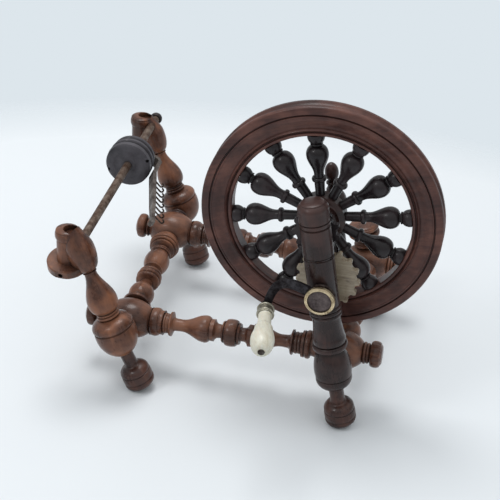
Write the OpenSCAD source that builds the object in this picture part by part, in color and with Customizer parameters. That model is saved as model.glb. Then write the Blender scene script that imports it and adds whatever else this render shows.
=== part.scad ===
// Table-top spinning wheel: turned fruitwood frame on ball feet, hand-cranked
// through a pair of gears, with a one-armed flyer held between two maidens.
// Millimetres, +Z up, wheel axle along Y, crank on the -Y side.

/* [Overall] */
// outside diameter of the wheel
wheel_d = 200; // [170:1:230]
// distance between the left and right posts along the long rails
rail_span = 188.5; // [175:0.5:215]
// distance between the two long rails
frame_depth = 140; // [120:1:170]
// height of the rails above the table
rail_z = 55; // [48:1:66]

/* [Wheel] */
// thickness of the wheel rim
rim_t = 16; // [12:0.5:17]
// radial width of the wheel rim
rim_w = 25.5; // [21:0.5:28]
// radius of the hub disc
hub_r = 20; // [17:0.5:22]
// number of spokes
spokes = 12; // [8:1:12]
// radius of the steel axle
axle_r = 3.5; // [2.5:0.1:4.2]

/* [Gears and crank] */
// teeth on the crank gear
gear_teeth = 15; // [13:1:18]
// teeth on the axle pinion
pinion_teeth = 11; // [10:1:12]
// thickness of both gears
gear_t = 4.6; // [3:0.2:5]
// radius of the crank shaft
crank_r = 4; // [3:0.1:5]
// length of the bone grip
grip_len = 60; // [48:1:72]

/* [Flyer] */
// radius of the spindle rod
spindle_r = 3.7; // [2.5:0.1:4.2]
// outside radius of the whorl
whorl_r = 21; // [17:0.5:23]
// number of wire hooks on the flyer arm
hooks = 8; // [4:1:9]

/* [Fits] */
// radial clearance of the turning fits
fit = 0.08; // [0.03:0.01:0.1]

/* [Hidden] */
$fn = 64;
post_out = 41.7;                  // posts stand this far outside the rails
lean_l = 0.405;                   // sideways lean of the maidens
lean_r = 0.19;                    // sideways lean of the wheel posts
wheel_r = wheel_d / 2;
axle_z = rail_z + wheel_r + 23.4;
yf = -post_out;
yr = frame_depth + post_out;
function right_x(z) = rail_span - lean_r * (z - rail_z);
function left_x(z) = -lean_l * (z - rail_z);
wheel_x = right_x(axle_z) - 3.8;
crank_z = axle_z - 41.5;
crank_x = wheel_x + 12.9;
spoke_turn = -8.4;                // the spokes stand a little off the upright
// corners where the rails cross: the old frame has settled out of square
rail_yf = -3;                     // the front rail stands a little forward
c_fl = [0, rail_yf, rail_z - 8.2];
c_fr = [rail_span, rail_yf, rail_z - 2.4];
c_rl = [-2.5, frame_depth, rail_z + 0.5];
c_rr = [rail_span, frame_depth, rail_z + 1];
left_d = (c_rl - c_fl) / norm(c_rl - c_fl);
right_d = (c_rr - c_fr) / norm(c_rr - c_fr);
b_fl = [0, -post_out, rail_z - 0.4];
b_rl = [c_rl[0] - 1.5, frame_depth + post_out, rail_z + 5.2];
lean_b = 0.43;                    // the rear maiden leans a little more
rear_k = 0.93;                    // the rear maiden is a little smaller
gear_y = -27.5;                   // front faces of the gears
gear_dist = norm([crank_x - wheel_x, crank_z - axle_z]);
gear_pitch = gear_dist * gear_teeth / (gear_teeth + pinion_teeth);
pinion_pitch = gear_dist - gear_pitch;
support_y = 27;                   // post behind the wheel
spin_z = rail_z + 89;             // height of the spindle
spin_xf = left_x(spin_z) + 6;     // spindle at the front maiden
spin_xr = left_x(spin_z) + 0.5;   // spindle at the rear maiden
lean_s = 0.175;                   // lean of the support behind the wheel
holder_x = left_x(rail_z + 77) - 12;
holder_b = holder_x - 3;
barrel_r = 17.8;
foot_fl = [b_fl[0] + lean_l * (b_fl[2] - 13.4), yf + 5, 13.4];
foot_rl = [c_rl[0] + 0.32 * (b_rl[2] - 12.6), yr - 5.5, 12.6];
foot_fr = [right_x(13.4), yf + 5.5, 13.4];
foot_rr = [right_x(13.4), frame_depth, 13.4];
tenon_r = 6;
foot_r = 13.4;
gap = 0.05;                       // glue line of the fixed joints
root = [crank_x - 43, -60.4, crank_z - 15];
grip_dir = [0.154, -0.985, -0.06];
grip_end = 14.4 + 44.1 * grip_len / 60;
end_x0 = holder_b - 17.3;
end_x1 = wheel_x + wheel_r;
end_y0 = root[1] + (grip_end + 1.76) * grip_dir[1];
end_y1 = yr + 18.3;
shift = [-(end_x0 + end_x1) / 2, -(end_y0 + end_y1) / 2, 0];

wood = "#7b4b2c";
dark_wood = "#5a3323";
ebony = "#1e1a1c";
bone = "#d9cfb4";
brass_c = "#b08d3e";
iron = "#3a3532";
steel_c = "#6d665f";

// ---- turned work -------------------------------------------------------
// one stretch of a profile: r0, z0 are where the last stretch ended
function stretch(e, r0, z0) =
    e[0] == "to" ? [[e[2], z0 + e[1]]] :
    e[0] == "bead" ? [for (i = [1:8]) [r0 + (e[2] - r0) * sin(22.5 * i),
        z0 + e[1] * (1 - cos(22.5 * i)) / 2]] :
    e[0] == "ball" ? let (a = asin(min(1, r0 / e[2])), b = 180 - asin(min(1, e[3] / e[2])))
        [for (i = [1:14]) let (t = a + (b - a) * i / 14)
            [e[2] * sin(t), z0 + e[1] * (cos(a) - cos(t)) / (cos(a) - cos(b))]] :
    // drop: rises gently from r0 to e[2] at fraction e[4], then closes roundly to e[3]
    e[0] == "drop" ? concat(
        [for (i = [1:9]) [r0 + (e[2] - r0) * (1 - cos(20 * i)) / 2, z0 + e[1] * e[4] * i / 9]],
        [for (i = [1:8]) [e[3] + (e[2] - e[3]) * cos(90 * i / 8), z0 + e[1] * (e[4] + (1 - e[4])
            * sin(90 * i / 8))]]) :
    // vase: swells from r0 to e[2] at fraction e[4], then runs out to e[3]
    concat(
        [for (i = [1:7]) [r0 + (e[2] - r0) * sin(90 * i / 7), z0 + e[1] * e[4] * (1 - cos(90 * i / 7))]],
        [for (i = [1:9]) let (s = i / 9)
            [e[3] + (e[2] - e[3]) * (1 + cos(180 * s)) / 2, z0 + e[1] * (e[4] + (1 - e[4]) * s)]]);
function run(spec, i = 0, r = 0, z = 0) = i >= len(spec) ? [] :
    let (p = stretch(spec[i], r, z), q = p[len(p) - 1]) concat(p, run(spec, i + 1, q[0], q[1]));
module turned(spec) {
    p = run(spec);
    rotate_extrude() polygon(concat([[0, 0]], p, [[0, p[len(p) - 1][1]]]));
}
// stand a local +Z on the direction d at point a
module along(a, d) {
    translate(a) rotate([0, acos(d[2] / norm(d)), atan2(d[1], d[0])]) children();
}
module rod(a, b, r) { along(a, b - a) cylinder(h = norm(b - a), r = r); }
// local frame of a leaning post, origin at rail height
module post(x, y, lean) { translate([x, y, rail_z]) rotate([0, -atan(lean), 0]) children(); }
module placed() { translate(shift) children(); }

// ---- long rails --------------------------------------------------------
function rail_spec() = let (k = (rail_span - 37) / 151.5) [
    ["ball", 37, barrel_r, 11],
    ["to", 1.5 * k, 12.2], ["to", 0, 11], ["bead", 7.6 * k, 12.5], ["to", 0.4 * k, 11], ["bead",
        3.2 * k, 10.6],
    ["to", 0, 8.6], ["bead", 2.4 * k, 9.2], ["bead", 1.8 * k, 8.8], ["to", 0.8 * k, 8.6], ["to", 1 * k,
        10.6],
    ["to", 1.6 * k, 10.9], ["to", 1.4 * k, 6.5], ["to", 1.5 * k, 5.6], ["to", 6 * k, 5.3],
    ["drop", 25.8 * k, 12, 8.4, 0.82], ["to", 0, 9.6], ["to", 3.4 * k, 9.8], ["to", 0.8 * k, 8],
    ["to", 1.8 * k, 6.4], ["to", 3.4 * k, 6], ["to", 1.4 * k, 6.8], ["to", 0, 9.2], ["to", 1.4 * k, 9.8],
    ["to", 0.4 * k, 8.9], ["to", 0.9 * k, 8.8], ["to", 0, 10.6], ["bead", 10.4 * k, 12.1], ["to", 0, 8.8],
    ["to", 0.9 * k, 8.9], ["to", 0, 9.8], ["to", 1.8 * k, 9.2], ["to", 0, 6.8], ["to", 1.4 * k, 6],
    ["to", 3.4 * k, 6.4], ["to", 1.8 * k, 8], ["to", 0.8 * k, 9.8], ["to", 3.4 * k, 9.6], ["to", 0, 8.4],
    ["vase", 25.8 * k, 12, 5.4, 0.18], ["to", 6 * k, 5.8], ["to", 1.5 * k, 7], ["to", 1.4 * k, 11],
    ["to", 1.4 * k, 11.1], ["to", 0.8 * k, 9], ["to", 0.5 * k, 8.8], ["bead", 3 * k, 9.6], ["bead",
        3 * k, 9.5],
    ["to", 0, 10], ["to", 0.6 * k, 11.6], ["to", 2.2 * k, 11.8], ["to", 0.4 * k, 10.6], ["to", 0.5 * k,
        10.6],
    ["to", 0, 11], ["bead", 4.6 * k, 12.5], ["to", 0, 9.6], ["to", 1.6 * k, 9.6]];
function z_of(spec, r = 0) = let (p = run(spec, 0, r)) p[len(p) - 1][1];
// a long rail from corner a to corner b; neck is the extra length by its left button
module long_rail(a, b, neck) {
    head = [["to", 0, 7], ["to", 1.5, 9.8], ["bead", 7, 11.6], ["to", 1.2, 6.5], ["to", 0.8, 6.5],
        ["to", 0, 8],
        ["bead", 1.8 + neck * 0.4, 9.4], ["to", 0, 7], ["bead", 1 + neck * 0.3, 8], ["to",
            0.5 + neck * 0.3, 8],
        ["to", 1.6, 10.5]];
    start = z_of(head) + 18.5;
    fill = norm(b - a) - z_of(rail_spec(), 10.5);
    along(a, b - a) translate([0, 0, -start]) turned(concat(head, rail_spec(), [["to", fill, 11],
        ["ball", 37, barrel_r - 0.5, 9.5], ["to", 0.6, 8], ["bead", 3, 9.6], ["to", 0, 8], ["bead",
            2.6, 9],
        ["to", 1, 7.4], ["to", 0, 9.6], ["bead", 8.5, 11.6], ["to", 1.4, 7.5]]));
}
module front_rail() color(wood) placed() difference() {
    long_rail(c_fl, c_fr, 5);
    rod(c_fl - 30 * left_d, c_fl + 30 * left_d, tenon_r + gap);
    rod(c_fr - 30 * right_d, c_fr + 30 * right_d, tenon_r + gap);
}
module rear_rail() color(wood) placed() difference() {
    long_rail(c_rl, c_rr, 0);
    rod(c_rl - 30 * left_d, c_rl + 30 * left_d, tenon_r + gap);
    rod(c_rr - 30 * right_d, c_rr + 30 * right_d, tenon_r + gap);
    post(rail_span, frame_depth, lean_r) {
        translate([0, 0, 8.5]) cylinder(h = 20, r = 4.5 + gap);
        translate([0, 0, -27.5]) cylinder(h = 20, r = 4.5 + gap);
    }
}

// ---- cross rails -------------------------------------------------------
cross_l = norm(c_rl - c_fl) - 34;
cross_r = norm(c_rr - c_fr) - 34;
reach_f = post_out + rail_yf - 7;  // tenons run this far past the corners, into the balls
reach_r = post_out - 7;
module left_cross_rail() color(wood) placed() {
    k = cross_l / 106;
    along(c_fl - reach_f * left_d, left_d) turned([["to", 0, tenon_r - 1], ["to", 1, tenon_r],
        ["to", reach_f + 16.6, tenon_r], ["to", 0, 11], ["to", 0.8, 12.6], ["to", 2.2, 13], ["to", 0.8,
            9],
        ["to", 3 * k, 6], ["to", 1 * k, 7], ["ball", 20 * k, 11.6, 6.2], ["to", 2 * k, 5.4], ["to",
            5 * k, 5.4],
        ["to", 1 * k, 9], ["bead", 4 * k, 11], ["bead", 4.5 * k, 11.6], ["bead", 4 * k, 11], ["to",
            1 * k, 6.4],
        ["to", 4 * k, 5.6], ["to", 1.4 * k, 8], ["bead", 2 * k, 9], ["ball", 22 * k, 11.7, 8.4],
        ["bead", 2.4 * k, 9.8], ["bead", 2.4 * k, 9.8], ["to", 3 * k, 7], ["to", 1.5 * k, 10.5],
            ["bead", 2.4 * k, 11.4],
        ["to", 0, 12], ["bead", 3 * k, 13.4], ["to", 0, 13], ["bead", 4 * k, 14.2], ["to", 0.4, 12],
        ["to", 3, 11.6], ["to", cross_l - 0.6 - (105.2 - 7.2) * k - 7.2 + 2.4, 11], ["to", 0, tenon_r],
        ["to", reach_r + 16, tenon_r], ["to", 1, tenon_r - 1]]);
}
module right_cross_rail() color(wood) placed() difference() {
    k = cross_l / 106;
    along(c_fr - reach_f * right_d, right_d) turned([["to", 0, tenon_r - 1], ["to", 1, tenon_r],
        ["to", reach_f + 16.6, tenon_r], ["to", 0, 7], ["ball", 20, 12.6, 7], ["bead", 2.4, 8.4],
        ["to", 4 * k, 5.6], ["to", 2 * k, 8.4], ["bead", 4 * k, 10.6], ["bead", 4 * k, 11.4], ["bead",
            4 * k, 10.6],
        ["to", 2 * k, 6], ["to", 4 * k, 5.6], ["vase", 24 * k, 11.6, 6.4, 0.5], ["to", 3 * k, 5.6],
            ["to", 3 * k, 8],
        ["bead", 4 * k, 10.6], ["bead", 4 * k, 11.6], ["to", 1 * k, 9], ["to", 4 * k, 9],
        ["to", cross_r - 23.6 - 67 * k, 11], ["to", 0, tenon_r], ["to", 35, tenon_r], ["to", 0, 7],
        ["bead", 7, 9.6], ["to", 0.6, 5]]);
    post(rail_span, support_y, lean_s) translate([0, 0, 1.6]) cylinder(h = 20, r = 3.5 + gap);
}
// turned collars between the barrels and the posts, from s0 to s1 along a cross rail
module collar(c, d, s0, s1) along(c + s0 * d, d) difference() {
    turned([["to", 0, 7.6], ["bead", (s1 - s0) / 2, 9.4], ["bead", (s1 - s0) / 2, 9.4]]);
    translate([0, 0, -1]) cylinder(h = s1 - s0 + 2, r = tenon_r + gap);
}
module front_left_collar() color(dark_wood) placed() collar(c_fl, left_d, 18.5 - post_out - rail_yf,
    -17.95);
module rear_left_collar() color(dark_wood) placed() collar(c_rl, left_d, 18, post_out - 17.2);
module front_right_collar() color(dark_wood) placed() collar(c_fr, right_d, 16.2 - post_out - rail_yf,
    -17.6);

// ---- maidens -----------------------------------------------------------
module maiden_turning() turned([["to", 0, 6.5], ["ball", 25.5, 18.3, 17.9], ["to", 0.5, 17], ["to",
    0.5, 17],
    ["to", 0.5, 17.6], ["ball", 10.5, 18.2, 8.4], ["bead", 3, 10.2], ["bead", 2.4, 9.4], ["to", 0.8, 8.2],
    ["vase", 38, 13.2, 5.2, 0.24], ["bead", 1.8, 6.2], ["to", 0.6, 5.4], ["vase", 45, 12.4, 6, 0.44]]);
spin_a = [spin_xf, yf, spin_z];
spin_b = [spin_xr, yr, spin_z];
spin_d = (spin_b - spin_a) / norm(spin_b - spin_a);
function on_spin(y) = spin_a + spin_d * ((y - yf) / spin_d[1]);
module spin_bore(y0, y1) rod(on_spin(y0), on_spin(y1), spindle_r + fit);
module maiden_at(b, k, lean) translate(b) rotate([0, -atan(lean), 0]) scale(k) translate([0, 0, -18.4])
    maiden_turning();
// a foot's socket in what it stands under: the neck seated to depth l, its tenon to depth t
module foot_socket(f, b, neck_r, l, t) {
    d = (f - b) / norm(f - b);
    translate([0, 0, -0.5]) {
        rod(f, b + (l - gap) * d, neck_r + gap);
        rod(f, b + (t - 0.8) * d, 4.5 + gap);
    }
}
// b: middle of the ball, k: size, side: -1 at the front and 1 at the back
module maiden(b, k, lean, side) difference() {
    maiden_at(b, k, lean);
    c = side < 0 ? c_fl : c_rl;
    rod(c + side * ((side < 0 ? reach_f : reach_r) + 0.4) * left_d, c, tenon_r + gap);
    translate([side < 0 ? holder_x : holder_b, b[1] - side, rail_z]) cylinder(h = 130, r = 9.3 + gap);
    children();
}
module front_left_maiden() color(wood) placed() maiden(b_fl, 1, lean_l, -1) {
    spin_bore(yf - 3, yf + 30);
    foot_socket(foot_fl, b_fl, 5.8, 17.4, 8.8);
}
module rear_left_maiden() color(wood) placed() maiden(b_rl, rear_k, lean_b, 1) {
    spin_bore(yr - 30, yr + 30);
    foot_socket(foot_rl, b_rl, 5.6, 16.2, 8.8);
}
// upright spool beside each maiden head: button, stem and a flange cut flat, tipped by some degrees
module spool(x, b, k, lean, side, up, tip) difference() {
    y = b[1] - side;
    union() {
        difference() {
            union() {
                translate([x, y, rail_z + 58 + up]) rotate([tip, 0, 0]) difference() {
                    turned([["to", 0, 15.8], ["to", 0.8, 17.3], ["to", 6, 17.3], ["to", 0.7, 16.6]]);
                    translate([-30, side * 26.5 - 10, -8]) cube([60, 20, 20]);
                }
                translate([x, y, rail_z + 88]) turned([["to", 0, 8.2], ["to", 0, 9.6], ["bead", 7, 10.6],
                    ["ball", 2.7, 9.9, 1.5]]);
            }
            maiden_at(b, k, lean);
        }
        translate([x, y, rail_z + 61]) cylinder(h = 32, r = 9.3);
    }
    children();
}
module front_spool() color(wood) placed() spool(holder_x, b_fl, 1, lean_l, -1, 3, 14) {
    spin_bore(yf - 3, yf + 30);
    translate([holder_x - 1, yf - 18.5, rail_z + 60.5]) rotate([-90, 0, 0]) cylinder(h = 6, r = 2);
}
module rear_spool() color(wood) placed() spool(holder_b, b_rl, rear_k, lean_b, 1, 0, 0)
    spin_bore(yr - 30, yr + 30);

// ---- wheel post, rear support and stub ---------------------------------
up_r = 1 / cos(atan(lean_r));
module front_right_post() color(dark_wood) placed() difference() {
    h = (axle_z - rail_z) * up_r;
    post(rail_span, yf, lean_r) translate([0, 0, -13.5]) turned([["to", 0, 6.8], ["ball", 12, 15.4, 15.2],
        ["to", 0.5, 14.5], ["to", 0.5, 15.4], ["ball", 25, 15.8, 10.6], ["bead", 2, 12], ["to", 0, 13.4],
        ["bead", 5, 14.8], ["to", 0.8, 11.8], ["to", 0.5, 13.7], ["to", 3, 13.9], ["to", 4, 12.9],
            ["to", 8, 12],
        ["to", 7.5, 11.8], ["to", 2, 11.8], ["to", 0.8, 12.2], ["bead", 3, 13.4], ["bead", 3.6, 13.6],
            ["bead", 3, 13.2],
        ["to", 0, 12.2], ["to", h - 81.3, 12.4], ["to", 0.5, 11.7], ["to", 1.6, 12.3], ["to", 0.5, 11.7],
        ["to", 0.5, 12.5], ["to", 24.6, 12.5], ["to", 0.5, 11.6], ["to", 1.8, 12.6], ["to", 2.2, 12.8],
            ["to", 0.5, 11.6],
        ["to", 0.5, 12.4], ["to", 10, 12.7], ["ball", 4.5, 12.75, 10.6], ["to", 0.6, 9.8], ["ball", 2,
            9.9, 1.5]]);
    rod(c_fr - (reach_f + 0.4) * right_d, c_fr, tenon_r + gap);
    foot_socket(foot_fr, [right_x(rail_z + 5), yf, rail_z + 5], 6.2, 17.4, 12.2);
    rod([wheel_x, yf - 6.5, axle_z], [wheel_x, yf + 30, axle_z], axle_r + fit);
    rod([crank_x, yf - 30, crank_z], [crank_x, yf + 30, crank_z], crank_r + fit);
}
module rear_wheel_support() color(dark_wood) placed() difference() {
    h = (axle_z - rail_z) * up_r;
    post(rail_span, support_y, lean_s) translate([0, 0, 1.6]) turned([["to", 0, 3.5], ["to", 9.2, 3.5],
        ["to", 0, 6],
        ["bead", 3, 7.4], ["bead", 3, 6.8], ["vase", 36.4, 8, 4.4, 0.3], ["bead", 2.4, 5.6],
        ["vase", h - 1.6 - 54 - 12.5, 6.4, 4.2, 0.6], ["bead", 2, 6], ["ball", 21, 10.2, 5.2], ["bead",
            2, 6],
        ["to", 4, 4], ["bead", 2.4, 5.6], ["to", 1.6, 4], ["ball", 15, 5.8, 0.8]]);
    rod([wheel_x, support_y - 20, axle_z], [wheel_x, support_y + 6, axle_z], axle_r - 1.2 + fit);
}
module rear_right_stub() color(wood) placed() post(rail_span, frame_depth, lean_r) translate([0, 0, 9])
    turned([["to", 0, 4.5], ["to", 11, 4.5], ["to", 0, 9], ["bead", 3, 10.4], ["to", 2, 7.2], ["to", 4,
        7],
        ["to", 1.5, 13.4], ["bead", 4, 14.6], ["to", 1.2, 10.5], ["to", 1.4, 13], ["bead", 3.6, 14.2],
        ["ball", 3, 13, 2]]);

// ---- feet --------------------------------------------------------------
// turned ball foot with a neck and a round tenon, flat where it meets the table
// f: middle of the foot, b: what it points at, l: distance from b to the shoulder, t: to the tenon's end
module foot(f, b, neck_r, l, t) {
    k = f[2] / 13.4;
    c = norm(b - f);
    translate([0, 0, -0.5]) intersection() {
        along(f, b - f) rotate([0, 0, 35]) translate([0, 0, -13.4 * k]) turned([["to", 0, 1.5],
            ["ball", 9 * k, 13.4 * k, 13.1 * k],
            ["to", 0.5, 12.5 * k], ["to", 0.5, 13.2 * k], ["ball", 6.4 * k, 13.4 * k, 13 * k], ["to",
                0.4, 12.3 * k],
            ["to", 0.4, 12.7 * k], ["ball", 7.4 * k, 12.9 * k, neck_r + 1], ["to", 1, neck_r],
            ["to", c + 13.4 * k - 22.8 * k - 2.8 - l, neck_r], ["to", 0, 4.5], ["to", l - t, 4.5]]);
        translate([f[0] - 60, f[1] - 40, 0.5]) cube([120, 80, 100]);
    }
}
module front_left_foot() color(wood) placed() foot(foot_fl, b_fl, 5.8, 17.4, 8.8);
module rear_left_foot() color(wood) placed() foot(foot_rl, b_rl, 5.6, 16.2, 8.8);
module front_right_foot() color(wood) placed() foot(foot_fr, [right_x(rail_z + 5), yf, rail_z + 5],
    6.2, 17.4, 12.2);
module rear_right_foot() color(wood) placed() foot(foot_rr, [rail_span, frame_depth, rail_z], 6.4,
    17.2, 8.4);

// ---- wheel -------------------------------------------------------------
module on_axle(y) { translate([wheel_x, y, axle_z]) rotate([-90, 0, 0]) children(); }
// half of the rim section from the inner edge to the outer groove
function rim_side(s) = let (a = wheel_r - rim_w, h = s * rim_t / 2, w = rim_w) [
    [a, h * 0.74], [a + 0.03 * w, h * 0.86], [a + 0.10 * w, h * 0.88], [a + 0.12 * w, h * 0.67],
    [a + 0.14 * w, h * 0.65], [a + 0.16 * w, h * 0.8], [a + 0.20 * w, h * 0.9], [a + 0.24 * w, h * 0.8],
    [a + 0.26 * w, h * 0.65],
    for (t = [0:6]) [a + (0.28 + 0.36 * t / 6) * w, h * (0.65 + 0.31 * (1 - cos(30 * t)) / 2)],
    [a + 0.65 * w, h], [a + 0.69 * w, h], [a + 0.71 * w, h * 0.8], [a + 0.735 * w, h * 0.8],
    [a + 0.755 * w, h], [a + 0.93 * w, h], [a + 0.97 * w, h * 0.95], [a + w, h * 0.82],
    [a + w, h * 0.5], [a + w - 1.6, h * 0.3], [a + w - 2.2, 0]];
module wheel_rim() color(dark_wood) placed() difference() {
    n = rim_side(1);
    m = rim_side(-1);
    on_axle(0) rotate_extrude($fn = 128) polygon(concat(n, [for (i = [len(m) - 2:-1:0]) m[i]]));
    for (i = [0:spokes - 1]) on_axle(0) rotate([0, 0, 360 / spokes * i + 90 + spoke_turn]) rotate([0,
        90, 0])
        translate([0, 0, wheel_r - rim_w - 2]) cylinder(h = 8 + gap, r = 3 + gap, $fn = 32);
}
module wheel_hub() color(dark_wood) placed() difference() {
    on_axle(-9) turned([["to", 0, 8.5], ["to", 0.6, 9], ["to", 0, 10], ["to", -0.8, 11], ["to", 0.8, 12],
        ["to", 0.4, 14], ["to", -0.4, 15.5], ["to", 0.7, 16.2], ["to", 0.4, 17.5], ["to", 1.2, hub_r],
        ["to", 12.2, hub_r], ["to", 1.2, 18], ["to", 0.4, 16.2], ["to", 0.6, 9], ["to", 0.6, 8.5]]);
    on_axle(-20) cylinder(h = 40, r = axle_r + gap);
    for (i = [0:spokes - 1]) on_axle(0) rotate([0, 0, 360 / spokes * i + 90 + spoke_turn]) rotate([0,
        90, 0])
        translate([0, 0, hub_r - 6 - gap]) cylinder(h = 10, r = 2.5 + gap, $fn = 32);
}
module spoke() {
    l = wheel_r - rim_w - 0.4 - hub_r;
    k = (l - 0.1) / 55;
    translate([0, 0, hub_r - 6]) turned([["to", 0, 2.5], ["to", 6.1, 2.5], ["to", 0, 3.9], ["to",
        12.4 * k, 4.3],
        ["to", 0, 4.8], ["bead", 4 * k, 6.1], ["to", 0, 4.2], ["to", 2 * k, 4], ["drop", 26 * k, 9.2,
            3.6, 0.7],
        ["to", 1 * k, 3.6], ["to", 0, 4.6], ["bead", 1.4 * k, 5.2], ["ball", 8.2 * k, 7.2, 6.9],
        ["to", 0, 3], ["to", 5.5, 3]], $fn = 40);
}
module wheel_spokes() color(ebony) placed()
    for (i = [0:spokes - 1]) on_axle(0) rotate([0, 0, 360 / spokes * i + 90 + spoke_turn]) rotate([0,
        90, 0]) spoke();
module wheel_axle() color(steel_c) placed() {
    on_axle(yf - 6) cylinder(h = support_y - 7.2 - 4.5 - yf + 6, r = axle_r);
    on_axle(support_y - 11.7) cylinder(h = 17, r = axle_r - 1.2);
}
module axle_sleeve() color(dark_wood) placed() difference() {
    on_axle(gear_y + gear_t) turned([["to", 0, 6], ["to", 2, 7.2], ["to", 2, 6], ["to",
        -9 - gear_y - gear_t - 8, 5.6],
        ["to", 2, 6.6], ["to", 2, 8]]);
    on_axle(-40) cylinder(h = 60, r = axle_r + gap);
}
// round-topped gear: teeth on the pitch circle with rounded gullets
function gear_pts(n, r, w) = [for (i = [0:n - 1]) for (j = [0:11])
    let (a = 360 / n * i, tip = r + 1.55, foot_c = r - 2.1,
         q = j < 8 ? [for (t = [j / 7 * 180]) [r - 1.3 + 0.1, 0] + [(tip - r + 1.2) * sin(t),
             -w * cos(t)]][0]
                   : [foot_c + 0.5 * abs(j - 9.5) / 1.5, 0])
    j < 8 ? [q[0] * cos(a) - q[1] * sin(a), q[0] * sin(a) + q[1] * cos(a)]
          : let (b = a + asin(w / r) + (360 / n - 2 * asin(w / r)) * (j - 7.5) / 4)
            [q[0] * cos(b), q[0] * sin(b)]];
module gear(n, r, w, turn) rotate([0, 0, turn]) linear_extrude(gear_t) polygon(gear_pts(n, r, w));
mesh_a = atan2(-(crank_z - axle_z), crank_x - wheel_x);
tooth_w = 2.25;
module axle_pinion() color(dark_wood) placed() difference() {
    on_axle(gear_y) gear(pinion_teeth, pinion_pitch, tooth_w, mesh_a);
    on_axle(-40) cylinder(h = 60, r = axle_r + gap);
}

// ---- crank -------------------------------------------------------------
module on_crank(y) { translate([crank_x, y, crank_z]) rotate([-90, 0, 0]) children(); }
module crank_gear() color(bone) placed() difference() {
    on_crank(gear_y) gear(gear_teeth, gear_pitch, tooth_w, mesh_a + 180 + 180 / gear_teeth);
    on_crank(gear_y - 5) cylinder(h = 20, r = crank_r + gap);
    for (s = [0, 180]) on_crank(gear_y - 5) rotate([0, 0, s + 40]) translate([9, 0, 0])
        cylinder(h = 20, r = 1, $fn = 24);
}
module crank_shaft() color(steel_c) placed() on_crank(-62.4) cylinder(h = 62.4 + gear_y + gear_t + 1.6,
    r = crank_r);
module crank_collar() color(iron) placed() on_crank(-57.3) difference() {
    turned([["to", 0, 11], ["to", 0.6, 12], ["to", 1, 12], ["to", 0.9, 10.5]]);
    translate([0, 0, -1]) cylinder(h = 5, r = crank_r + gap);
}
// the arm is a strap bowed over the top, 0 at the shaft and 1 at the grip
function arm_mid(t) = [-43 * t - 2.5 * sin(180 * t), 10.5 * sin(150 * t) * (1 - 0.15 * t)
    - 19.46 * pow(t, 8)];
function arm_w(t) = 4.6 - 1.2 * t;
function arm_side(s) = [for (i = [0:20]) let (t = i / 20, p = arm_mid(t), q = arm_mid(t + 0.01)
    - arm_mid(t - 0.01),
    u = [-q[1], q[0]] / norm(q)) p + s * arm_w(t) * u];
module crank_arm() color(iron) placed() difference() {
    translate([crank_x, -57.4, crank_z]) rotate([90, 0, 0]) {
        translate([0, 0, 0.2]) linear_extrude(2.6)
            polygon(concat(arm_side(1), [for (i = [20:-1:0]) arm_side(-1)[i]]));
        cylinder(h = 3, r = 8);
        translate([-43, -15, 0]) cylinder(h = 3, r = 4.4);
    }
    on_crank(-70) cylinder(h = 30, r = crank_r + gap);
    along(root + [0, 8, 0], [0, -1, 0]) cylinder(h = 20, r = 2 + gap);
}
module crank_ring() color(brass_c) placed() on_crank(-64.2) difference() {
    turned([["to", 0, 11], ["to", 0.7, 12.3], ["to", 2.6, 12.3], ["to", 0.5, 11.8]]);
    translate([0, 0, -1]) cylinder(h = 6, r = 9.9);
}
module crank_disc() color(iron) placed() on_crank(-63.2) difference() {
    turned([["to", 0, 3], ["to", -0.3, 8.6], ["to", 0.5, 9.85], ["to", 2.6, 9.85]]);
    translate([0, 0, 0.8]) cylinder(h = 6, r = crank_r + gap);
}
module grip_frame() { along(root, grip_dir) children(); }
pin_len = grip_end + 0.3;
module crank_pin() color(iron) placed() {
    translate(root + [0, 3, 0]) rotate([90, 0, 0]) cylinder(h = 3.4, r = 2);
    grip_frame() translate([0, 0, 0.4]) cylinder(h = pin_len - 0.4, r = 2);
    grip_frame() translate([0, 0, pin_len]) turned([["to", 0, 2.8], ["ball", 1.2, 2.8, 0.6]]);
}
module handle_ferrule() color(steel_c) placed() grip_frame() difference() {
    translate([0, 0, 2.6]) turned([["to", 0, 5.6], ["bead", 2.4, 7.2], ["to", 0.4, 6.4], ["to", 4.4, 6.6],
        ["bead", 1.8, 7.3], ["to", 0.8, 6.2]]);
    cylinder(h = 40, r = 2 + fit);
}
module handle_grip() color(bone) placed() grip_frame() difference() {
    k = grip_len / 60;
    translate([0, 0, 12.6]) turned([["to", 0, 5.6], ["to", 2 * k, 5.2], ["to", 10 * k, 5.6], ["to",
        1.6 * k, 6.2],
        ["to", 0.5, 5.8], ["to", 0.6, 5.8], ["to", 0.5, 6.8], ["to", 1.5 * k, 7.4],
        ["drop", 29 * k, 9.6, 3.4, 0.5], ["to", 0.2, 3]]);
    cylinder(h = 90, r = 2 + fit);
}

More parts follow.
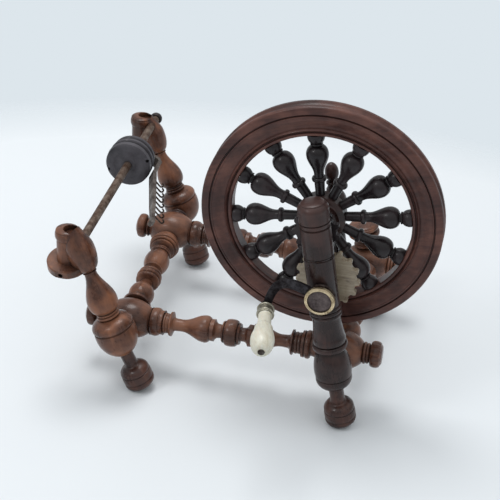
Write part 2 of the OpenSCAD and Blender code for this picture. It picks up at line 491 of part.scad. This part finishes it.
// ---- spindle and flyer -------------------------------------------------
module on_spindle(y) {
    translate(on_spin(y)) rotate([-90, 0, 0]) rotate([0, atan2(spin_d[0], spin_d[1]), 0]) children();
}
module spindle() color(steel_c) placed() rod(on_spin(yf - 2.6), on_spin(yr + 13), spindle_r);
module spindle_nub() color(ebony) placed() difference() {
    on_spindle(yr + 10.7) turned([["to", 0, 4.6], ["to", 1, 5.6], ["ball", 6.5, 5.8, 1.5]]);
    rod(on_spin(yr), on_spin(yr + 13.05), spindle_r + gap);
}
whorl_y = frame_depth - 46;
module whorl() color(ebony) placed() difference() {
    k = whorl_r / 21;
    on_spindle(whorl_y) turned([["to", 0, 7], ["to", 0.5, 8], ["to", 0, 12 * k], ["to", -0.4,
        13.5 * k], ["to", 0.6, 19 * k],
        ["to", 0.8, 20.6 * k], ["to", 4, 21 * k], ["to", 1, 19.6 * k], ["to", 1, 17 * k], ["to", 1.2,
            17 * k],
        ["to", 1, 19.6 * k], ["to", 1, 20.8 * k], ["to", 2.4, 20.8 * k], ["to", 1, 19.4 * k], ["to", 1,
            16.6 * k],
        ["to", 1.2, 16.6 * k], ["to", 1, 19 * k], ["to", 1, 20 * k], ["to", 2.4, 20 * k], ["to", 0.8,
            18.6 * k],
        ["to", 0, 11], ["to", 6.2, 10.4], ["to", 1, 8]]);
    rod(on_spin(whorl_y - 10), on_spin(whorl_y + 60), spindle_r + gap);
    for (a = [90, 270]) on_spindle(whorl_y - 0.5) rotate([0, 0, a + 70]) translate([19.2 * k, 0, 0])
        cylinder(h = 4, r = 1.5, $fn = 24);
}
// frame with +X pointing from the spindle towards the arm and +Y along it
arm_turn = 25;
module on_arm() {
    translate(on_spin(whorl_y)) rotate([0, 0, -atan2(spin_d[0], spin_d[1])]) rotate([0, arm_turn, 0])
        children();
}
arm_root = whorl_r + 1.2;
arm_tip = 43;
arm_y0 = 24.2;
arm_y1 = -62;
function arm_in(y) = arm_root + (arm_tip - arm_root) * max(0, (8 - y) / (8 - arm_y1));
module flyer_arm() color(steel_c) placed() on_arm() difference() {
    intersection() {
        linear_extrude(12, center = true) polygon([[spindle_r + gap + 0.1,
            arm_y0 + 4.6],
            [spindle_r + gap + 0.1, arm_y0 + 8], [arm_root, arm_y0 + 8], [arm_root + 3.6, arm_y0 + 3],
                [arm_root + 3.6, 8],
            [arm_tip + 3, arm_y1], [arm_tip + 1, arm_y1 - 4], [arm_tip - 2, arm_y1 - 2.5],
                [arm_tip - 0.6, arm_y1],
            [arm_root, 8], [arm_root, arm_y0 + 3], [arm_root - 2, arm_y0 + 4.6]]);
        rotate([0, 90, 0]) linear_extrude(80) polygon([[-4.8, arm_y0 + 9], [4.8, arm_y0 + 9], [4.8, 0],
            [3.6, arm_y1 + 22],
            [2.4, arm_y1 + 10], [2.6, arm_y1 - 5], [-2.6, arm_y1 - 5], [-2.4, arm_y1 + 10], [-3.6,
                arm_y1 + 22], [-4.8, 0]]);
    }
    rotate([-90, 0, 0]) cylinder(h = 60, r = spindle_r + gap);
    for (i = [0:hooks - 1]) hook_at(i) translate([0, 0, -2]) cylinder(h = 6, r = 0.9, $fn = 24);
}
module hook_at(i) {
    y = 2 - 52 / (hooks - 1) * i;
    translate([arm_in(y) + 2.4, y, 0]) rotate([0, 90 + 22, 0]) children();
}
module flyer_hooks() color(iron) placed() on_arm() for (i = [0:hooks - 1]) hook_at(i) {
    translate([0, 0, -1.5]) cylinder(h = 10.5, r = 0.8, $fn = 24);
    translate([-1.9, 0, 9]) rotate([-90, 0, 0]) rotate_extrude(angle = -210, $fn = 32)
        translate([1.9, 0]) circle(r = 0.8, $fn = 20);
}

front_rail();
rear_rail();
left_cross_rail();
right_cross_rail();
front_left_collar();
rear_left_collar();
front_right_collar();
front_left_maiden();
rear_left_maiden();
front_spool();
rear_spool();
front_right_post();
rear_wheel_support();
rear_right_stub();
front_left_foot();
rear_left_foot();
front_right_foot();
rear_right_foot();
wheel_rim();
wheel_hub();
wheel_spokes();
wheel_axle();
axle_sleeve();
axle_pinion();
crank_gear();
crank_shaft();
crank_collar();
crank_arm();
crank_ring();
crank_disc();
crank_pin();
handle_ferrule();
handle_grip();
spindle();
spindle_nub();
whorl();
flyer_arm();
flyer_hooks();
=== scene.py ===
import math

import bpy
from mathutils import Matrix, Vector


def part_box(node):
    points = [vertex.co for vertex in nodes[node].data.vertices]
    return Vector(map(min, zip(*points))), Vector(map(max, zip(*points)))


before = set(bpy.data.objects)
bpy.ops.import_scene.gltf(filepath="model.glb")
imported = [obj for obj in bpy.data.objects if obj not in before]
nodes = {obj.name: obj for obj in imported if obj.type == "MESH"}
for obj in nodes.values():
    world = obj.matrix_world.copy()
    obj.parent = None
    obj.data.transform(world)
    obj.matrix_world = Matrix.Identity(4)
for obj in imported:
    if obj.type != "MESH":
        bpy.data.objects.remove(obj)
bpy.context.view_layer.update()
scene = bpy.context.scene
scene.view_settings.view_transform = "Standard"


def rgb(r, g, b):
    """A colour given as it looks on screen, 0 to 255, as the linear one a shader needs."""
    out = []
    for c in (r, g, b):
        c /= 255
        out.append(c / 12.92 if c <= 0.04045 else ((c + 0.055) / 1.055) ** 2.4)
    return (*out, 1.0)


# ---- camera: long lens, above and a little to the right, turned 3.5 degrees about its own axis
AZ, EL, ROLL = (math.radians(a) for a in (11.249, 31.438, 3.468))
CAMERA_FROM_WHEEL = Vector((0.13761, -0.98376, 0.56838))  # metres, from the middle of the rim
LENS = 100.876
SENSOR_WIDTH = 36
SHIFT_Y = 1 / 500
CLIP_START = 0.01
forward = Vector((-math.sin(AZ) * math.cos(EL), math.cos(AZ) * math.cos(EL), -math.sin(EL)))
right = Vector((math.cos(AZ), math.sin(AZ), 0))
up = right.cross(forward)
side = right * math.cos(ROLL) + up * math.sin(ROLL)
top = up * math.cos(ROLL) - right * math.sin(ROLL)
rim_lo, rim_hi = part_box("wheel_rim")
rim_mid = (rim_lo + rim_hi) / 2
camera = bpy.data.objects.new("camera", bpy.data.cameras.new("camera"))
scene.collection.objects.link(camera)
turn = Matrix((side, top, -forward)).transposed()
camera.matrix_world = Matrix.Translation(rim_mid + CAMERA_FROM_WHEEL) @ turn.to_4x4()
camera.data.lens = LENS
camera.data.sensor_width = SENSOR_WIDTH
camera.data.shift_y = SHIFT_Y
camera.data.clip_start = CLIP_START
scene.camera = camera


# ---- small helpers for node trees
class Tree:
    """A node tree with short calls for the nodes used here."""

    def __init__(self, tree):
        self.t = tree

    def node(self, kind, **values):
        n = self.t.nodes.new(kind)
        for k, v in values.items():
            if hasattr(n, k):
                setattr(n, k, v)
            else:
                self.put(n.inputs[k.replace("_", " ")], v)
        return n

    def put(self, socket, v):
        if isinstance(v, bpy.types.NodeSocket):
            self.t.links.new(v, socket)
        else:
            socket.default_value = v

    def math(self, op, a, b=0.0, clamp=False):
        n = self.node("ShaderNodeMath", operation=op, use_clamp=clamp)
        self.put(n.inputs[0], a)
        self.put(n.inputs[1], b)
        return n.outputs[0]

    def place(self, vector, turn=(0, 0, 0), scale=(1, 1, 1), shift=(0, 0, 0)):
        n = self.node("ShaderNodeMapping", vector_type="POINT")
        self.put(n.inputs["Vector"], vector)
        n.inputs["Rotation"].default_value = turn
        n.inputs["Scale"].default_value = scale
        n.inputs["Location"].default_value = shift
        return n.outputs[0]

    def noise(self, vector, scale, detail=4.0, rough=0.55, bend=0.0):
        n = self.node("ShaderNodeTexNoise")
        self.put(n.inputs["Vector"], vector)
        for k, v in (("Scale", scale), ("Detail", detail), ("Roughness", rough), ("Distortion", bend)):
            n.inputs[k].default_value = v
        return n.outputs["Fac"]

    def span(self, v, lo, hi, a=0.0, b=1.0):
        n = self.node("ShaderNodeMapRange", clamp=True)
        for i, x in enumerate((v, lo, hi, a, b)):
            self.put(n.inputs[i], x)
        return n.outputs[0]

    def mix(self, f, a, b, kind="MIX"):
        n = self.node("ShaderNodeMix", data_type="RGBA", blend_type=kind)
        self.put(n.inputs[0], f)
        self.put(n.inputs[6], a)
        self.put(n.inputs[7], b)
        return n.outputs[2]

    def ramp(self, f, *stops):
        n = self.node("ShaderNodeValToRGB")
        e = n.color_ramp.elements
        while len(e) < len(stops):
            e.new(0.5)
        for el, (p, c) in zip(e, stops):
            el.position = p
            el.color = c
        self.put(n.inputs[0], f)
        return n.outputs[0]

    def bump(self, height, depth, strength=1.0, normal=None):
        n = self.node("ShaderNodeBump")
        n.inputs["Strength"].default_value = strength
        n.inputs["Distance"].default_value = depth
        self.put(n.inputs["Height"], height)
        if normal is not None:
            self.put(n.inputs["Normal"], normal)
        return n.outputs[0]

    def shut_in(self, reach, inside=False):
        """1 in the open and falling towards 0 down in the grooves, looking reach metres around."""
        n = self.node("ShaderNodeAmbientOcclusion", samples=6, only_local=False, inside=inside)
        n.inputs["Distance"].default_value = reach
        return n.outputs["AO"]


def new_material(name, **shader):
    m = bpy.data.materials.new(name)
    m.use_nodes = True
    t = Tree(m.node_tree)
    bsdf = m.node_tree.nodes["Principled BSDF"]
    for k, v in shader.items():
        bsdf.inputs[k.replace("_", " ")].default_value = v
    where = t.node("ShaderNodeTexCoord").outputs["Object"]
    return m, t, bsdf, where


def along_x(d):
    """Euler turn that brings the direction d onto +X, for grain that runs along a piece."""
    return Vector(d).rotation_difference(Vector((1, 0, 0))).to_euler("XYZ")


def wood(name, d, dark, mid, light, seed, grime_and_shade_level=0.75, worn=0.5, gloss=(0.2, 0.42), streak=1.0):
    """Old polished hardwood: fibres and pores along d, slow figure, grime and painted shade in grooves,
    rubbed wear and painted highlights on high spots.
    """
    m, t, bsdf, where = new_material(name, Specular_IOR_Level=0.3, Coat_Weight=0.1, Coat_Roughness=0.1)
    v = t.place(where, turn=along_x(d), shift=(seed * 0.37, seed * 0.21, seed * 0.13))
    fibre = t.noise(t.place(v, scale=(22, 420, 420)), 1.0, 6.0, 0.6)
    figure = t.noise(t.place(v, scale=(7, 75, 75)), 1.0, 5.0, 0.6, 0.6)
    cloud = t.noise(v, 34, 4.0, 0.6)
    specks = t.noise(t.place(v, scale=(60, 900, 900)), 1.0, 2.0, 0.5)
    share = 0.55 * streak
    tone = t.math("ADD", t.math("MULTIPLY", figure, share), t.math("MULTIPLY", cloud, 1 - share))
    tone = t.math("ADD", t.math("MULTIPLY", tone, 0.8), t.math("MULTIPLY", fibre, 0.2))
    colour = t.ramp(tone, (0.39, dark), (0.5, mid), (0.61, light))
    pore = t.span(specks, 0.30, 0.40, 0.72, 1.0)
    colour = t.mix(1.0, colour, t.ramp(pore, (0.0, (0, 0, 0, 1)), (1.0, (1, 1, 1, 1))), "MULTIPLY")
    # painted shade on top of real grime: grooves and places close to other parts or the floor are darkened
    # towards a near-black tone
    out = t.shut_in(0.008)
    grime_and_shade = t.math("MULTIPLY", t.span(out, 0.35, 0.9, 1.0, 0.0), grime_and_shade_level)
    grime_and_shade = t.math("MULTIPLY", grime_and_shade, t.span(cloud, 0.3, 0.65, 0.75, 1.0), True)
    # painted highlight on top of real rubbed wear: thin crests and edges are lightened to a brighter tone
    high = t.shut_in(0.0035, inside=True)
    rubbed_and_highlit = t.math("MULTIPLY", t.span(high, 0.18, 0.5), t.span(cloud, 0.42, 0.62, 0.25, 1.0))
    rubbed_and_highlit = t.math("MULTIPLY", rubbed_and_highlit, worn, True)
    worn_highlight_tone = tuple(min(1.0, c * 1.45 + 0.012) for c in light[:3]) + (1.0,)
    colour = t.mix(rubbed_and_highlit, colour, worn_highlight_tone)
    grime_and_shade_tone = tuple(c * 0.22 for c in dark[:3]) + (1.0,)
    colour = t.mix(grime_and_shade, colour, grime_and_shade_tone)
    t.put(bsdf.inputs["Base Color"], colour)
    rough = t.math("ADD", t.math("MULTIPLY", cloud, 0.7), t.math("MULTIPLY", fibre, 0.3))
    rough = t.span(rough, 0.35, 0.65, *gloss)
    t.put(bsdf.inputs["Roughness"], t.math("ADD", rough, t.math("MULTIPLY", grime_and_shade, 0.25), True))
    dents = t.noise(v, 260, 3.0, 0.5)
    height = t.math("ADD", t.math("MULTIPLY", fibre, 0.5), t.math("MULTIPLY", pore, 0.35))
    n = t.bump(height, 0.00018, 0.55)
    t.put(bsdf.inputs["Normal"], t.bump(dents, 0.0005, 0.22, n))
    return m


STAIN_SCALE = 130  # how small the stains on metal are


def metal(name, base, stain_and_shade_tone, seed, gloss=(0.3, 0.55), spread=(0.4, 0.6), metallic=1.0, line=(1, 0, 0)):
    """Worn metal: stains in clouds, tarnish and painted shade in grooves, fine scratches along the
    direction line.
    """
    m, t, bsdf, where = new_material(name, Metallic=metallic)
    v = t.place(where, shift=(seed * 0.31, seed * 0.17, seed * 0.11))
    cloud = t.noise(v, STAIN_SCALE, 6.0, 0.65)
    fine = t.noise(v, STAIN_SCALE * 7, 4.0, 0.6)
    scratch = t.noise(t.place(v, turn=along_x(line), scale=(60, 2200, 2200)), 1.0, 3.0, 0.6)
    # painted shade on top of tarnish: grooves and places close to other parts are darkened towards the
    # stain tone
    grime_and_shade_level = t.span(t.shut_in(0.003), 0.35, 0.9, 1.0, 0.0)
    stain_and_shade = t.math("ADD", t.math("MULTIPLY", cloud, 0.72), t.math("MULTIPLY", fine, 0.28))
    stain_and_shade = t.math("MAXIMUM", t.span(stain_and_shade, *spread), t.math("MULTIPLY", grime_and_shade_level, 0.9), True)
    t.put(bsdf.inputs["Base Color"], t.mix(stain_and_shade, base, stain_and_shade_tone))
    rough = t.math("ADD", t.span(stain_and_shade, 0, 1, *gloss), t.math("MULTIPLY", scratch, 0.1))
    t.put(bsdf.inputs["Roughness"], rough)
    h = t.math("ADD", t.math("MULTIPLY", fine, 0.7), t.math("MULTIPLY", scratch, 0.5))
    t.put(bsdf.inputs["Normal"], t.bump(h, 0.00016, 0.5))
    return m


def bone(name, d, light, deep, dirt_and_shade_tone, seed, grime_and_shade_level=0.8):
    """Turned bone: pale, faintly streaked along d, yellowed in clouds, with grime and painted shade held in
    the cuts.
    """
    m, t, bsdf, where = new_material(name, Roughness=0.35, Coat_Weight=0.15, Coat_Roughness=0.2)
    bsdf.inputs["Subsurface Weight"].default_value = 0.12
    bsdf.inputs["Subsurface Radius"].default_value = (0.004, 0.0025, 0.0015)
    bsdf.inputs["Subsurface Scale"].default_value = 0.4
    v = t.place(where, turn=along_x(d), shift=(seed * 0.4, seed * 0.2, seed * 0.3))
    streak = t.noise(t.place(v, scale=(35, 600, 600)), 1.0, 5.0, 0.6)
    cloud = t.noise(v, 90, 5.0, 0.6)
    flecks = t.noise(t.place(v, scale=(180, 1500, 1500)), 1.0, 2.0, 0.5)
    tone = t.math("ADD", t.math("MULTIPLY", streak, 0.45), t.math("MULTIPLY", cloud, 0.55))
    colour = t.ramp(tone, (0.36, deep), (0.58, light))
    fleck = t.math("MULTIPLY", t.span(flecks, 0.68, 0.76), 0.45)
    # painted shade on top of real grime: cuts and places close to other parts are darkened towards the dirt
    # tone
    held_grime_and_shade = t.math("MULTIPLY", t.span(t.shut_in(0.0035), 0.3, 0.92, 1.0, 0.0), grime_and_shade_level)
    patch = t.math("MULTIPLY", t.span(cloud, 0.55, 0.7), 0.25)
    f = t.math("MAXIMUM", t.math("MAXIMUM", fleck, held_grime_and_shade), patch, True)
    t.put(bsdf.inputs["Base Color"], t.mix(f, colour, dirt_and_shade_tone))
    t.put(bsdf.inputs["Roughness"], t.span(cloud, 0.35, 0.65, 0.26, 0.48))
    height = t.math("ADD", streak, t.math("MULTIPLY", flecks, 0.5))
    t.put(bsdf.inputs["Normal"], t.bump(height, 0.00012, 0.5))
    return m


# ---- directions of the pieces, taken from where the frame has them
def middle(n):
    lo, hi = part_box(n)
    return (lo + hi) / 2


lean = middle("front_left_maiden") - middle("front_left_foot")
lean = Vector((lean.x, 0, lean.z))
stand = middle("wheel_hub") - middle("front_right_foot")
stand = Vector((stand.x, 0, stand.z))
X, Y, Z = Vector((1, 0, 0)), Vector((0, 1, 0)), Vector((0, 0, 1))
grip_lo, grip_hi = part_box("handle_grip")
grip_line = Vector((grip_hi.x - grip_lo.x, grip_lo.y - grip_hi.y, 0)).normalized()

# ---- colours
FRAME_TONES = (rgb(30, 16, 14), rgb(68, 40, 31), rgb(122, 78, 54))
RAIL_TONES = (rgb(34, 19, 17), rgb(70, 43, 35), rgb(116, 76, 55))
POST_TONES = (rgb(16, 8, 9), rgb(30, 17, 16), rgb(58, 35, 30))
RIM_TONES = (rgb(40, 21, 19), rgb(66, 38, 33), rgb(96, 60, 50))
FOOT_TONES = (rgb(22, 12, 12), rgb(46, 27, 24), rgb(84, 53, 42))
EBONY_TONES = (rgb(10, 6, 8), rgb(19, 13, 16), rgb(42, 31, 33))

finish_of = {}
for i, (n, d, tones) in enumerate((
        ("front_rail", X, RAIL_TONES), ("rear_rail", X, RAIL_TONES),
        ("left_cross_rail", Y, FRAME_TONES), ("right_cross_rail", Y, RAIL_TONES),
        ("front_left_collar", Y, POST_TONES), ("rear_left_collar", Y, POST_TONES),
        ("front_right_collar", Y, POST_TONES),
        ("front_left_maiden", lean, FRAME_TONES), ("rear_left_maiden", lean, FRAME_TONES),
        ("front_spool", Z, FRAME_TONES), ("rear_spool", Z, FRAME_TONES),
        ("front_right_post", stand, POST_TONES), ("rear_wheel_support", stand, POST_TONES),
        ("rear_right_stub", stand, FRAME_TONES),
        ("front_left_foot", lean, FOOT_TONES), ("rear_left_foot", lean, FOOT_TONES),
        ("front_right_foot", stand, FOOT_TONES), ("rear_right_foot", stand, FOOT_TONES))):
    finish_of[n] = wood("wood_" + n, d, *tones, seed=i + 1)
finish_of["wheel_rim"] = wood("wood_rim", (0.96, 0, 0.28), *RIM_TONES, seed=31, grime_and_shade_level=0.6, worn=0.3,
                              gloss=(0.34, 0.5))
finish_of["wheel_hub"] = wood("wood_hub", X, *POST_TONES, seed=32)
finish_of["axle_sleeve"] = wood("wood_sleeve", Y, *POST_TONES, seed=33)
finish_of["wheel_spokes"] = wood("ebonised_spokes", Z, *EBONY_TONES, seed=34, grime_and_shade_level=0.5, worn=0.35,
                                 gloss=(0.24, 0.42))
finish_of["axle_pinion"] = wood("dark_pinion", Y, *EBONY_TONES, seed=35)
finish_of["spindle_nub"] = wood("dark_nub", Y, *EBONY_TONES, seed=36)
finish_of["whorl"] = wood("slate_whorl", Y, rgb(24, 23, 26), rgb(42, 40, 44), rgb(66, 63, 68), seed=37,
                          grime_and_shade_level=0.7, worn=0.5, gloss=(0.42, 0.62), streak=0.5)
finish_of["crank_gear"] = bone("bone_gear", X, rgb(166, 152, 130), rgb(112, 97, 78), rgb(46, 35, 28), 5)
finish_of["handle_grip"] = bone("bone_grip", grip_line, rgb(218, 215, 200), rgb(196, 189, 168),
                                rgb(120, 106, 84), 6, grime_and_shade_level=0.7)
finish_of["spindle"] = metal("rusted_spindle", rgb(134, 118, 106), rgb(78, 58, 48), 7, (0.38, 0.7),
                             (0.38, 0.6), 0.8, line=Y)
finish_of["wheel_axle"] = metal("steel_axle", rgb(128, 122, 116), rgb(66, 54, 48), 8, line=Y)
finish_of["crank_shaft"] = metal("steel_shaft", rgb(110, 104, 100), rgb(50, 42, 40), 9, line=Y)
finish_of["crank_collar"] = metal("iron_collar", rgb(92, 82, 78), rgb(44, 34, 32), 10, (0.35, 0.6))
finish_of["crank_arm"] = metal("iron_arm", rgb(72, 70, 74), rgb(34, 29, 30), 11, (0.35, 0.62), line=X)
finish_of["crank_pin"] = metal("iron_pin", rgb(96, 90, 84), rgb(48, 38, 34), 12, line=Y)
finish_of["crank_ring"] = metal("brass_ring", rgb(214, 194, 160), rgb(96, 78, 50), 13, (0.22, 0.5),
                                (0.46, 0.66))
finish_of["crank_disc"] = metal("dark_disc", rgb(112, 100, 98), rgb(60, 50, 50), 14, (0.4, 0.62),
                                (0.3, 0.62), 0.6)
finish_of["handle_ferrule"] = metal("silver_ferrule", rgb(186, 182, 166), rgb(92, 84, 68), 15, (0.28, 0.55),
                                    (0.42, 0.62))
finish_of["flyer_arm"] = metal("grey_arm", rgb(112, 104, 98), rgb(58, 48, 44), 16, (0.4, 0.65),
                              (0.4, 0.62), 0.5, line=Y)
finish_of["flyer_hooks"] = metal("hook_wire", rgb(98, 86, 78), rgb(54, 40, 34), 17, (0.35, 0.6))


# ---- one modifier that joins the split points of a CAD mesh and smooths its curved faces
SHARP_ANGLE = math.radians(38)
JOIN_DISTANCE = 0.000004


def smoothing():
    """Geometry nodes that change only the shading normals: sharp edges stay, curved faces run smoothly."""
    g = bpy.data.node_groups.new("smooth_turned", "GeometryNodeTree")
    g.interface.new_socket("Geometry", in_out="INPUT", socket_type="NodeSocketGeometry")
    g.interface.new_socket("Geometry", in_out="OUTPUT", socket_type="NodeSocketGeometry")
    t = Tree(g)
    start, end = t.node("NodeGroupInput"), t.node("NodeGroupOutput")
    join = t.node("GeometryNodeMergeByDistance")
    join.inputs["Distance"].default_value = JOIN_DISTANCE
    angle = t.node("GeometryNodeInputMeshEdgeAngle")
    sharp = t.node("FunctionNodeCompare", data_type="FLOAT", operation="GREATER_THAN")
    g.links.new(angle.outputs[0], sharp.inputs[0])
    sharp.inputs[1].default_value = SHARP_ANGLE
    normal = t.node("GeometryNodeSetMeshNormal", mode="SHARPNESS")
    normal.inputs["Remove Custom"].default_value = True
    g.links.new(start.outputs[0], join.inputs["Geometry"])
    g.links.new(join.outputs[0], normal.inputs["Mesh"])
    g.links.new(sharp.outputs[0], normal.inputs["Edge Sharpness"])
    g.links.new(normal.outputs[0], end.inputs[0])
    return g


smooth = smoothing()
for name, o in nodes.items():
    o.data.materials.clear()
    o.data.materials.append(finish_of[name])
    o.modifiers.new("smooth", "NODES").node_group = smooth


# ---- floor that fades into the background, and soft light
FLOOR_RADIUS = 1.2
FLOOR_SIDES = 64
FLOOR_DROP = 0.0002
FADE_FROM, FADE_TO = 0.42, 0.52  # metres from the middle, where the floor turns clear


def floor():
    """A pale disc just under the feet."""
    m, t, bsdf, where = new_material("pale_floor", Roughness=0.75)
    bsdf.inputs["Specular IOR Level"].default_value = 0.25
    sheet = t.noise(where, 3.0, 3.0, 0.5)
    t.put(bsdf.inputs["Base Color"], t.mix(sheet, rgb(224, 228, 231), rgb(229, 233, 236)))
    t.put(bsdf.inputs["Normal"], t.bump(t.noise(where, 900, 2.0), 0.0002, 0.1))
    far = t.node("ShaderNodeVectorMath", operation="LENGTH")
    t.put(far.inputs[0], t.place(where, scale=(0.75, 1, 1)))
    clear = t.node("ShaderNodeBsdfTransparent")
    join = t.node("ShaderNodeMixShader")
    t.put(join.inputs[0], t.span(far.outputs["Value"], FADE_FROM, FADE_TO))
    t.put(join.inputs[1], bsdf.outputs[0])
    t.put(join.inputs[2], clear.outputs[0])
    out = m.node_tree.nodes["Material Output"]
    t.put(out.inputs["Surface"], join.outputs[0])
    mesh = bpy.data.meshes.new("floor")
    angles = [2 * math.pi * i / FLOOR_SIDES for i in range(FLOOR_SIDES)]
    edge = [(FLOOR_RADIUS * math.cos(a), FLOOR_RADIUS * math.sin(a), -FLOOR_DROP) for a in angles]
    mesh.from_pydata(edge, [], [range(FLOOR_SIDES)])
    mesh.materials.append(m)
    o = bpy.data.objects.new("floor", mesh)
    scene.collection.objects.link(o)


def lamp(name, place, aim, size, watts):
    """A round area lamp at place, turned to aim."""
    light = bpy.data.lights.new(name, "AREA")
    light.shape = "DISK"
    light.size = size
    light.energy = watts
    o = bpy.data.objects.new(name, light)
    scene.collection.objects.link(o)
    o.location = place
    o.rotation_euler = (Vector(aim) - Vector(place)).to_track_quat("-Z", "Y").to_euler()


floor()
lamp("overhead", (-0.25, 0.25, 1.4), (0, 0, 0.08), 0.6, 7)
lamp("front_left", (-0.9, -0.9, 1.3), (0, 0, 0.1), 0.35, 3.5)
world = bpy.data.worlds.new("world")
scene.world = world
world.use_nodes = True
t = Tree(world.node_tree)
height = t.node("ShaderNodeSeparateXYZ")
t.put(height.inputs[0], t.node("ShaderNodeTexCoord").outputs["Generated"])
above = t.span(height.outputs[2], 0, 1, 0.42, 1.0)
above = t.mix(above, (0, 0, 0, 1), (0.95, 0.98, 1.0, 1))
sky = world.node_tree.nodes["Background"]
t.put(sky.inputs["Color"], t.mix(t.span(height.outputs[2], -0.03, 0.06), rgb(221, 230, 236), above))
sky.inputs["Strength"].default_value = 1.0
